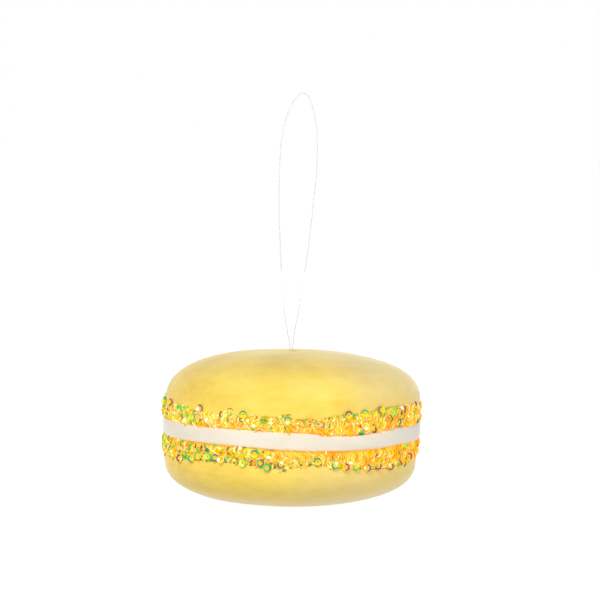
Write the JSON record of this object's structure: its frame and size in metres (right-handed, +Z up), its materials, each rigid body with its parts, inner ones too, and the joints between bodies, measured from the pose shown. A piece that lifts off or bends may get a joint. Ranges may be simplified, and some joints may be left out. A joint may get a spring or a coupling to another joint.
{
  "type": "macaron-shaped hanging ornament",
  "caption": "Macaron-shaped hanging ornament: two yellow velvet shells round a cream velvet filling, sequin trim at both seams, and a clear nylon loop on top.",
  "frame": {"origin": "centre of the small flat under the lower shell, below the middle of the body", "axes": "+Z up through the shells towards the hanging loop, -Y the shown front, +X to the viewer's right"},
  "size_m": [0.101, 0.1003, 0.1597],
  "materials": {
    "yellow_velvet": "short-pile velvet, matte with a pale sheen at the edges",
    "cream_velvet": "short-pile velvet, matte with a pale sheen at the edges",
    "sequin_film": "iridescent glossy film, orange and yellow with green and violet glints",
    "clear_nylon": "clear smooth monofilament"
  },
  "bodies": {
    "root": {"shell_lower": "yellow_velvet", "trim_lower": "sequin_film", "filling": "cream_velvet", "trim_upper": "sequin_film", "shell_upper": "yellow_velvet", "hanger_loop": "clear_nylon"}
  },
  "joints": []
}
